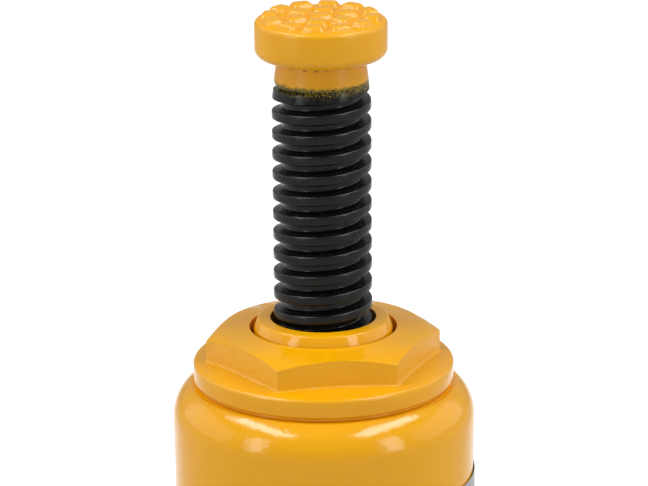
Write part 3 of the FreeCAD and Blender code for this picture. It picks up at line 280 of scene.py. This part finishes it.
ram_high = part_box("ram")[1] / MM
ram_r = ram_high.x
ram_top = ram_high.z
turned_low = ram_top - 4.4
turned_blend = 0.8
hexagon_inner = 24.5
hexagon_reach = 30.5
foot_top = ram_top - 9.0
foot_low = ram_top - 11.6
rim_high = ram_top - 11.4
rim_blend = 0.6
flange_pitting = 0.5
nut_enamel, on_nut = new_material("gloss_enamel_on_forged_hexagon")
nut_coat = enamel_shader(nut_enamel, on_nut)
pits = add_node(nut_enamel, "ShaderNodeTexNoise", {
    "Vector": on_nut, "Scale": 1 / (0.7 * MM), "Detail": 3.0, "Roughness": 0.6})
nut_height = add_node(nut_enamel, "ShaderNodeSeparateXYZ", {"Vector": on_nut}).outputs["Z"]
# the pits stop at the turned top and at the flange's rim, and are shallower on the flange
below_top = add_node(nut_enamel, "ShaderNodeMapRange", {
    "Value": nut_height, "From Min": (turned_low - turned_blend) * MM, "From Max": turned_low * MM,
    "To Min": 1.0, "To Max": 0.0})
flat_spot = add_node(nut_enamel, "ShaderNodeVectorMath", {
    0: on_nut, 1: (1.0, 1.0, 0.0)}, operation="MULTIPLY")
nut_radius = add_node(nut_enamel, "ShaderNodeVectorMath", {
    0: flat_spot}, operation="LENGTH").outputs["Value"]
outwards = add_node(nut_enamel, "ShaderNodeMapRange", {
    "Value": nut_radius, "From Min": (hexagon_reach - 1) * MM, "From Max": hexagon_reach * MM,
    "To Min": 1.0, "To Max": flange_pitting})
above_rim = add_node(nut_enamel, "ShaderNodeMapRange", {
    "Value": nut_height, "From Min": (rim_high - rim_blend) * MM, "From Max": rim_high * MM})
forged = add_node(nut_enamel, "ShaderNodeMath", {0: below_top, 1: outwards}, operation="MULTIPLY")
forged = add_node(nut_enamel, "ShaderNodeMath", {0: forged, 1: above_rim}, operation="MULTIPLY")
nut_normal = add_node(nut_enamel, "ShaderNodeBump", {
    "Height": pits, "Distance": 0.22 * MM, "Strength": forged,
    "Normal": nut_coat.inputs["Normal"].links[0].from_socket})
nut_enamel.node_tree.links.new(nut_normal.outputs["Normal"], nut_coat.inputs["Normal"])
set_surface(nut_enamel, nut_coat)
nut = softened("top_nut", "top_nut_enamelled", nut_enamel, "body", 0.4)
# the hexagon's foot runs out on the flange in a fillet full of paint
foot = nut.data.attributes.new("bevel_weight_edge", "FLOAT", "EDGE")
for edge in nut.data.edges:
    ends = [nut.data.vertices[index].co / MM for index in edge.vertices]
    if all(foot_low < end.z < foot_top and hexagon_inner < end.xy.length < hexagon_reach
           for end in ends):
        foot.data[edge.index].value = 1.0
fillet = nut.modifiers.new("foot_fillet", "BEVEL")
fillet.limit_method = "WEIGHT"
fillet.width = 1.2 * MM
fillet.segments = 4
nut.modifiers.move(1, 0)


# Ram: ground steel, 34 mm across. The closed jack was sprayed as a whole, so the enamel covers the
# ram's bevelled mouth and stops at the wiper, and the bearing surface below is bright.

def rounded(corners, step_deg=12):
    """The points of an open outline whose corners are (across, up, rounding) in mm."""
    points = []
    for index, (x, y, rounding) in enumerate(corners):
        here = Vector((x, y))
        if not rounding:
            points.append(here)
            continue
        before = (Vector(corners[index - 1][:2]) - here).normalized()
        after = (Vector(corners[index + 1][:2]) - here).normalized()
        turn = math.pi - before.angle(after)
        reach = rounding * math.tan(turn / 2)
        centre = here + (before + after).normalized() * (rounding / math.cos(turn / 2))
        first, second = here + before * reach - centre, here + after * reach - centre
        steps = max(1, math.ceil(math.degrees(turn) / step_deg))
        for step in range(steps + 1):
            spoke = first * math.sin(turn * (1 - step / steps)) + second * math.sin(turn * step / steps)
            points.append(centre + spoke / math.sin(turn))
    return points


def spun(bm, points, rise=0.0, steps=144):
    """Turns an open outline of points in mm once about the Z axis, rising by rise mm."""
    verts = [bm.verts.new((x * MM, 0, z * MM)) for x, z in points]
    edges = [bm.edges.new(pair) for pair in zip(verts, verts[1:])]
    bmesh.ops.spin(bm, geom=verts + edges, cent=(0, 0, 0), axis=(0, 0, 1),
                   dvec=(0, 0, rise * MM / steps), angle=math.tau, steps=steps,
                   use_merge=not rise, use_normal_flip=False, use_duplicate=False)
    bmesh.ops.remove_doubles(bm, verts=bm.verts[:], dist=0.002 * MM)


wiper_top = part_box("ram_wiper")[1].z / MM
ram_finish, on_ram = new_material("ground_steel_enamelled_at_the_mouth")
sprayed = enamel_shader(ram_finish, on_ram, cast_mm=0.02)
ground = turned_shader(ram_finish, on_ram, "d2d3d5", "b4b6b9", 0.12, 0.1)
edge_wander = add_node(ram_finish, "ShaderNodeTexNoise", {
    "Vector": on_ram, "Scale": 1 / (2.5 * MM), "Detail": 4.0})
ram_height = add_node(ram_finish, "ShaderNodeSeparateXYZ", {"Vector": on_ram}).outputs["Z"]
wander = add_node(ram_finish, "ShaderNodeMath", {
    0: edge_wander, 1: 1.2 * MM, 2: ram_height}, operation="MULTIPLY_ADD")
covered = add_node(ram_finish, "ShaderNodeMapRange", {
    "Value": wander, "From Min": (wiper_top + 0.2) * MM, "From Max": (wiper_top + 0.9) * MM})
set_surface(ram_finish, add_node(ram_finish, "ShaderNodeMixShader", {
    0: covered, 1: ground, 2: sprayed}))
# the lip round the mouth is broad and almost level, and its bevel is steep
bevel_width = 1.05
bevel_drop = 2.8
lip_drop = 0.25
mouth_depth = 3.2
lip_r = ram_r - bevel_width
mouth_r = 12.85
ram = own_shape("ram")
bmesh.ops.bisect_plane(
    ram, geom=ram.verts[:] + ram.edges[:] + ram.faces[:], dist=1e-7, clear_outer=True,
    plane_co=(0, 0, (ram_top - mouth_depth - 0.3) * MM), plane_no=(0, 0, 1))
spun(ram, rounded([
    (ram_r, ram_top - mouth_depth, 0), (ram_r, ram_top - bevel_drop, 0.6),
    (lip_r, ram_top - lip_drop, 0.6), (mouth_r, ram_top, 0.3), (mouth_r, ram_top - mouth_depth, 0)]))
rims = [edge for edge in ram.edges if edge.is_boundary]
for within in (True, False):
    bmesh.ops.bridge_loops(ram, edges=[
        edge for edge in rims if (edge.verts[0].co.xy.length < lip_r * MM) == within])
softened("ram", "ram_tube", ram_finish, "ram", 0.25, bm=ram)


# Extension screw: forged and thread-rolled in one piece with its saddle, blackened, and wound out
# by hand. The spray has covered the saddle and the neck and dusts the first turn of thread.

screw_low, screw_high = (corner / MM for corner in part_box("extension_screw"))
saddle_r = screw_high.x
screw_r = 12.0
thread_depth = 2.6
root_r = screw_r - thread_depth
pitch = 5.0
crest = 2.1
flank_angle = math.radians(15)
knob_height = 1.3
saddle_height = 9.2
neck_length = 7.2
under_z = screw_high.z - knob_height - saddle_height
neck_z = under_z - neck_length
neck_r = screw_r - 0.7

blackened, on_screw = new_material("blackened_steel_with_enamelled_saddle")
oxide_patch = add_node(blackened, "ShaderNodeTexNoise", {
    "Vector": on_screw, "Scale": 1 / (1.6 * MM), "Detail": 5.0, "Roughness": 0.65})
oxide_grain = add_node(blackened, "ShaderNodeTexNoise", {
    "Vector": on_screw, "Scale": 1 / (0.35 * MM), "Detail": 2.0})
oxide = add_node(blackened, "ShaderNodeMix", {
    "Factor": oxide_patch, "A": linear("060607"), "B": linear("141415")}, data_type="RGBA")
oxide_normal = add_node(blackened, "ShaderNodeBump", {"Height": oxide_patch, "Distance": 0.03 * MM})
oxide_normal = add_node(blackened, "ShaderNodeBump", {
    "Height": oxide_grain, "Distance": 0.005 * MM, "Normal": oxide_normal})
oiled = add_node(blackened, "ShaderNodeMapRange", {
    "Value": oxide_patch, "From Min": 0.35, "From Max": 0.65, "To Min": 0.13, "To Max": 0.36})
black = add_node(blackened, "ShaderNodeBsdfPrincipled", {
    "Base Color": oxide, "Roughness": oiled, "IOR": 1.4, "Normal": oxide_normal})
yellow = enamel_shader(blackened, on_screw, cast_mm=0.06, rough=0.26)
screw_height = add_node(blackened, "ShaderNodeSeparateXYZ", {"Vector": on_screw}).outputs["Z"]
# the coat ends in a ragged line; a broken band just under the saddle's edge is painted black, partly gaps
# in the coat and partly painted shade of the corner under the saddle
ragged = add_node(blackened, "ShaderNodeTexNoise", {
    "Vector": on_screw, "Scale": 1 / (1.2 * MM), "Detail": 4.0})
coat_edge = add_node(blackened, "ShaderNodeMath", {
    0: ragged, 1: 1.6 * MM, 2: screw_height}, operation="MULTIPLY_ADD")
coated = add_node(blackened, "ShaderNodeMapRange", {
    "Value": coat_edge, "From Min": (neck_z + 2.3) * MM, "From Max": (neck_z + 3.0) * MM})
# the band of gaps and painted shade, just under the saddle's edge
corner = add_node(blackened, "ShaderNodeMath", {
    0: screw_height, 1: (under_z - 1.0) * MM, 2: 0.2 * MM}, operation="COMPARE")
gaps = add_node(blackened, "ShaderNodeMath", {0: ragged, 1: 0.57}, operation="GREATER_THAN")
gaps_and_shade_under_saddle = add_node(blackened, "ShaderNodeMath", {0: corner, 1: gaps}, operation="MULTIPLY")
coated = add_node(blackened, "ShaderNodeMath", {0: coated, 1: gaps_and_shade_under_saddle}, operation="SUBTRACT")
# below it, dry specks of overspray thin out over the first turn's upper flank
thinning = add_node(blackened, "ShaderNodeMapRange", {
    "Value": screw_height, "From Min": (neck_z - 1.4) * MM, "From Max": (neck_z + 2.9) * MM})
specks = add_node(blackened, "ShaderNodeTexVoronoi", {
    "Vector": on_screw, "Scale": 1 / (0.2 * MM)}).outputs["Color"]
hit = add_node(blackened, "ShaderNodeMath", {0: thinning, 1: specks}, operation="ADD")
dusted = add_node(blackened, "ShaderNodeMapRange", {
    "Value": hit, "From Min": 0.95, "From Max": 1.2, "To Max": 0.75})
overspray = add_node(blackened, "ShaderNodeBsdfPrincipled", {
    "Base Color": linear("a08a1e"), "Roughness": 0.6, "Normal": oxide_normal})
dusty = add_node(blackened, "ShaderNodeMixShader", {0: dusted, 1: black, 2: overspray})
set_surface(blackened, add_node(blackened, "ShaderNodeMixShader", {0: coated, 1: dusty, 2: yellow}))

# the thread: one pitch of its outline turned along the screw, with worn crests and filled roots
flank = (screw_r - root_r) * math.tan(flank_angle)
half_root = (pitch - crest - flank * 2) / 2
turns_in_ram = 7
first_z = ram_top - pitch * turns_in_ram
ring_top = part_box("stop_ring")[1].z / MM
turns = math.ceil((neck_z - first_z) / pitch) + 1
tooth = rounded([
    (root_r, -flank - half_root, 0), (root_r, -flank, 0.4), (screw_r, 0, 0.45),
    (screw_r, crest, 0.45), (root_r, crest + flank, 0.4), (root_r, crest + flank + half_root, 0)],
    step_deg=20)
screw = bmesh.new()
spun(screw, [(point.x, point.y + first_z) for point in tooth], rise=pitch, steps=72)
first_turn = screw.verts[:] + screw.edges[:] + screw.faces[:]
for turn in range(1, turns):
    copy = bmesh.ops.duplicate(screw, geom=first_turn)["geom"]
    bmesh.ops.translate(screw, verts=[part for part in copy if isinstance(part, bmesh.types.BMVert)],
                        vec=(0, 0, pitch * turn * MM))
bmesh.ops.remove_doubles(screw, verts=screw.verts[:], dist=0.002 * MM)
# its last turn is shallower, and runs out in the neck
run_out = 4
run_out_slope = 0.12
for vert in screw.verts:
    limit = screw_r - run_out_slope * max(0.0, vert.co.z / MM - neck_z + run_out)
    across = vert.co.xy.length / MM
    if across > limit:
        vert.co.xy *= limit / across
for height, upward in ((ring_top + 0.1, -1), (neck_z + 5, 1)):
    bmesh.ops.bisect_plane(
        screw, geom=screw.verts[:] + screw.edges[:] + screw.faces[:], dist=1e-7, clear_outer=True,
        plane_co=(0, 0, height * MM), plane_no=(0, 0, upward))
    rim = [edge for edge in screw.edges if edge.is_boundary
           and all(abs(vert.co.z - height * MM) < 1e-6 for vert in edge.verts)]
    bmesh.ops.edgeloop_fill(screw, edges=rim)

# the shank's foot, with the groove that the stop ring sits in
groove_r = root_r - 1.6
ring_low = ring_top - 3
shank = rounded([
    (0, screw_low.z, 0), (root_r, screw_low.z, 0.5), (root_r, ring_low, 0.2),
    (groove_r, ring_low, 0.2), (groove_r, ring_top + 1, 0), (0, ring_top + 1, 0)])
spun(screw, shank, steps=72)

# the neck and the saddle, whose face has rows of square knobs with their edges drowned in paint
knob_pitch = 6.4
knob_foot = 3.1
knob_crown = 1.8
knob_turn = math.radians(37)
rim_z = screw_high.z - knob_height
rim_round = 1.3
rim_fade = 0.8
face_r = saddle_r - rim_round
rings = 44
outline = rounded([
    (0, neck_z - 1, 0), (root_r - 0.1, neck_z - 1, 0), (root_r - 0.1, neck_z - 0.6, 0.1),
    (neck_r + 0.2, neck_z + 0.8, 1.6), (neck_r - 0.65, under_z, 1),
    (saddle_r, under_z, 2.3), (saddle_r, rim_z, rim_round), (face_r - 0.1, rim_z, 0)])
outline += [Vector((face_r * (1 - step / rings), rim_z)) for step in range(1, rings + 1)]
saddle = bmesh.new()
spun(saddle, outline, steps=240)
centres = [Vector((0, 0))]
for ring, count in ((1, 6), (2, 12)):
    centres += [Vector((knob_pitch * ring, 0)) @ Matrix.Rotation(-knob_turn - math.tau * item / count, 2)
                for item in range(count)]
for vert in saddle.verts:
    spot = vert.co.xy / MM
    if vert.co.z / MM < rim_z - 0.01 or spot.length > face_r:
        continue
    nearest = min(centres, key=lambda centre: (spot - centre).length)
    outward = nearest.normalized() if nearest.length else Vector(
        (math.cos(knob_turn), math.sin(knob_turn)))
    offset = spot - nearest
    square = abs(offset.dot(outward)) ** 5 + abs(offset.cross(outward)) ** 5
    rise = max(0.0, min(1.0, (knob_foot - square ** 0.2) / (knob_foot - knob_crown)))
    edge_fade = max(0.0, min(1.0, (face_r - spot.length) / rim_fade))
    vert.co.z += knob_height * MM * (rise - math.sin(math.tau * rise) / 14) * edge_fade
bmesh.ops.recalc_face_normals(saddle, faces=saddle.faces[:])
saddle_mesh = bpy.data.meshes.new("saddle")
saddle.to_mesh(saddle_mesh)
saddle.free()
screw.from_mesh(saddle_mesh)
bpy.data.meshes.remove(saddle_mesh)
bmesh.ops.recalc_face_normals(screw, faces=screw.faces[:])
add_piece("extension_screw_forged", screw, blackened, "screw",
          ["extension_screw"], sharp_deg=50)


# Pump: a hexagon-footed barrel screwed in the base, with its ground plunger.

softened("pump_body", "pump_body_enamelled", smooth_enamel, "body", 0.35)
ground_steel, on_ground = new_material("ground_steel")
set_surface(ground_steel, turned_shader(ground_steel, on_ground, "d2d3d5", "b4b6b9", 0.12, 0.12))
softened("plunger", "plunger_ground", ground_steel, "plunger", 0.25)


# Lever: a cast socket for the handle, two pressed links to the base, and zinc-plated pins held by
# phosphated clips.

softened("handle_socket", "handle_socket_casting", cast_enamel, "lever", 0.6)
for side in ("left", "right"):
    softened("link_plate_" + side, "link_plate_%s_enamelled" % side, smooth_enamel, "link",
             0.35)

zinc, on_zinc = new_material("bright_zinc_plate")
spangle = add_node(zinc, "ShaderNodeTexVoronoi", {"Vector": on_zinc, "Scale": 1 / (1.4 * MM)})
zinc_haze = add_node(zinc, "ShaderNodeTexNoise", {
    "Vector": on_zinc, "Scale": 1 / (3 * MM), "Detail": 4.0})
zinc_colour = add_node(zinc, "ShaderNodeMix", {
    "Factor": spangle.outputs["Color"], "A": linear("a9adb2"), "B": linear("c6c9cc")},
    data_type="RGBA")
zinc_gloss = add_node(zinc, "ShaderNodeMapRange", {
    "Value": zinc_haze, "From Min": 0.3, "From Max": 0.7, "To Min": 0.22, "To Max": 0.42})
set_surface(zinc, add_node(zinc, "ShaderNodeBsdfPrincipled", {
    "Base Color": zinc_colour, "Metallic": 1.0, "Roughness": zinc_gloss}))
pins = {"plunger_pin": "plunger", "fulcrum_pin": "lever", "base_pin": "link"}
for pin, carrier in pins.items():
    softened(pin, pin + "_plated", zinc, carrier, 0.15)

phosphate, on_phosphate = new_material("phosphated_spring_steel")
crystal = add_node(phosphate, "ShaderNodeTexNoise", {
    "Vector": on_phosphate, "Scale": 1 / (0.25 * MM), "Detail": 3.0})
worn = add_node(phosphate, "ShaderNodeTexNoise", {
    "Vector": on_phosphate, "Scale": 1 / (2 * MM), "Detail": 3.0})
phosphate_colour = add_node(phosphate, "ShaderNodeMix", {
    "Factor": worn, "A": linear("232325"), "B": linear("47474a")}, data_type="RGBA")
phosphate_normal = add_node(phosphate, "ShaderNodeBump", {"Height": crystal, "Distance": 0.01 * MM})
set_surface(phosphate, add_node(phosphate, "ShaderNodeBsdfPrincipled", {
    "Base Color": phosphate_colour, "Metallic": 0.6, "Roughness": 0.5, "Normal": phosphate_normal}))
for pin, carrier in pins.items():
    softened(pin + "_clips", pin + "_clips_sprung", phosphate, carrier, 0.12)


# Valves: a plated release screw with a notched knob, polished balls, a capped relief valve and a
# brass strainer. Driven plugs close the drillings, and a rubber plug closes the filler hole.

softened("release_screw", "release_screw_plated", zinc, "release_valve", 0.25)
polished, on_polished = new_material("polished_ball_steel")
scuffs = add_node(polished, "ShaderNodeTexNoise", {
    "Vector": on_polished, "Scale": 1 / (0.8 * MM), "Detail": 4.0})
scuff_gloss = add_node(polished, "ShaderNodeMapRange", {
    "Value": scuffs, "From Min": 0.4, "From Max": 0.8, "To Min": 0.06, "To Max": 0.2})
set_surface(polished, add_node(polished, "ShaderNodeBsdfPrincipled", {
    "Base Color": linear("d6d7d9"), "Metallic": 1.0, "Roughness": scuff_gloss}))
dress(polished, "release_ball", "suction_ball", "discharge_ball", "relief_ball")

# each valve's spring, squeezed against its seat when the ball lifts, is made a piece with a mesh of its
# own
for valve in ("discharge", "relief"):
    spring = valve + "_spring"
    coil = own_shape(spring)
    bmesh.ops.recalc_face_normals(coil, faces=coil.faces[:])
    wound = add_piece(spring + "_wound", coil, phosphate, "body", [spring],
                      sharp_deg=50)
    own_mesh(wound)

brass, on_brass = new_material("woven_brass_mesh")
weave = add_node(brass, "ShaderNodeTexBrick", {
    "Vector": on_brass, "Scale": 1.0, "Brick Width": 0.4 * MM, "Row Height": 0.4 * MM,
    "Mortar Size": 0.12 * MM, "Color1": linear("c9a24c"), "Color2": linear("b58d3c"),
    "Mortar": linear("4a3a1c")})
set_surface(brass, add_node(brass, "ShaderNodeBsdfPrincipled", {
    "Base Color": weave.outputs["Color"], "Metallic": 0.9, "Roughness": 0.4}))
dress(brass, "suction_strainer")
for node in ("relief_cap", "gallery_plugs"):
    softened(node, node + "_enamelled", smooth_enamel, "body", 0.3)
softened("filler_plug", "filler_plug_moulded", nitrile, "body", 0.35)


# Camera and studio: the photo looks down on the jack by 17 degrees through a long lens, from the
# -X, +Y side, against white. Three pairs of soft boxes stand high up, near the camera and out to
# the sides, and the paper floor glows behind the jack.

picture_width = 648
focal_px = 3700
elevation = math.radians(17.2)
azimuth_deg = 195
distance = 898.3
aim_above_ram = 18.5
aim_right = 0.34
lean = math.radians(0.45)


def direction(azimuth, elevation):
    """From the jack towards a camera or a light. Azimuth 0 looks along +Y."""
    return Vector((math.sin(azimuth) * math.cos(elevation),
                   -math.cos(azimuth) * math.cos(elevation), math.sin(elevation)))


lens = bpy.data.cameras.new("camera")
lens.sensor_width = 36
lens.lens = focal_px / picture_width * lens.sensor_width
lens.clip_start = 0.05
camera = bpy.data.objects.new("camera", lens)
bpy.context.scene.collection.objects.link(camera)
towards = direction(math.radians(azimuth_deg), elevation)
facing = (-towards).to_track_quat("-Z", "Y").to_matrix()
aim = Vector((0, 0, ram_top + aim_above_ram)) + facing @ Vector((aim_right, 0, 0))
camera.location = (aim + towards * distance) * MM
camera.rotation_euler = (facing @ Matrix.Rotation(-lean, 3, "Z")).to_euler()
bpy.context.scene.camera = camera


def soft_box(name, around_deg, up_deg, width, height, power):
    """A soft light 3 m from the jack and aimed at its upper half."""
    light = bpy.data.lights.new(name, "AREA")
    light.shape = "RECTANGLE"
    light.size = width
    light.size_y = height
    light.energy = power
    box = bpy.data.objects.new(name, light)
    bpy.context.scene.collection.objects.link(box)
    way = direction(math.radians(around_deg), math.radians(up_deg))
    box.location = Vector((0, 0, 0.2)) + way * 3
    box.rotation_euler = (-way).to_track_quat("-Z", "Y").to_euler()


for place, spread, *settings in (
        ("high", 74, 57, 2.75, 0.7, 52), ("near", 53, 15, 0.75, 1.9, 17), ("far", 105, 16, 3.4, 1.9, 16)):
    soft_box(place + "_left_box", azimuth_deg - spread, *settings)
    soft_box(place + "_right_box", azimuth_deg + spread, *settings)

disc = bmesh.new()
bmesh.ops.create_circle(disc, cap_ends=True, segments=96, radius=12)
floor_mesh = bpy.data.meshes.new("floor")
disc.to_mesh(floor_mesh)
disc.free()
floor = bpy.data.objects.new("floor", floor_mesh)
bpy.context.scene.collection.objects.link(floor)


def looked_at(material):
    """One for rays from the camera, straight or by way of a gloss or a glass, and else nought."""
    ray = add_node(material, "ShaderNodeLightPath").outputs
    mirrored = add_node(material, "ShaderNodeMath", {
        0: ray["Is Glossy Ray"], 1: ray["Is Transmission Ray"]}, operation="MAXIMUM")
    return add_node(material, "ShaderNodeMath", {
        0: ray["Is Camera Ray"], 1: mirrored}, operation="MAXIMUM")


paper, on_paper = new_material("white_paper_sweep")
fibre = add_node(paper, "ShaderNodeTexNoise", {"Vector": on_paper, "Scale": 400.0})
white = add_node(paper, "ShaderNodeMix", {
    "Factor": fibre, "A": linear("c0c0c0"), "B": linear("c8c8c8")}, data_type="RGBA")
sheet = add_node(paper, "ShaderNodeBsdfDiffuse", {"Color": white})
# a panel of the paper behind the jack glows for camera and gloss rays though no lamp is under it: painted
# light that keeps the backdrop white and shows in the gloss
away = -towards.xy.normalized().to_3d()
behind = add_node(paper, "ShaderNodeVectorMath", {
    0: on_paper, 1: away}, operation="DOT_PRODUCT").outputs["Value"]
aside = add_node(paper, "ShaderNodeVectorMath", {
    0: on_paper, 1: away.cross((0, 0, 1))}, operation="DOT_PRODUCT").outputs["Value"]
aside = add_node(paper, "ShaderNodeMath", {0: aside}, operation="ABSOLUTE")
backwards = add_node(paper, "ShaderNodeMapRange", {
    "Value": behind, "From Min": 0.05, "From Max": 0.5, "To Max": 0.6},
    interpolation_type="SMOOTHSTEP")
sideways = add_node(paper, "ShaderNodeMapRange", {
    "Value": aside, "From Min": 0.2, "From Max": 0.45, "To Min": 1.0, "To Max": 0.0},
    interpolation_type="SMOOTHSTEP")
panel = add_node(paper, "ShaderNodeMath", {0: backwards, 1: sideways}, operation="MULTIPLY")
shown = add_node(paper, "ShaderNodeMath", {0: looked_at(paper), 1: panel}, operation="MULTIPLY")
glow = add_node(paper, "ShaderNodeEmission", {"Color": linear("ffffff"), "Strength": shown})
set_surface(paper, add_node(paper, "ShaderNodeAddShader", {0: sheet, 1: glow}))
floor_mesh.materials.append(paper)

studio = bpy.data.worlds.new("studio")
studio.use_nodes = True
studio.node_tree.nodes.clear()
bpy.context.scene.world = studio
# the room is brighter to look at than the light that it gives
brightness = add_node(studio, "ShaderNodeMapRange", {
    "Value": looked_at(studio), "To Min": 0.15, "To Max": 0.35})
sky = add_node(studio, "ShaderNodeBackground", {"Color": linear("ffffff"), "Strength": brightness})
add_node(studio, "ShaderNodeOutputWorld", {"Surface": sky})

bpy.context.scene.view_settings.view_transform = "Standard"
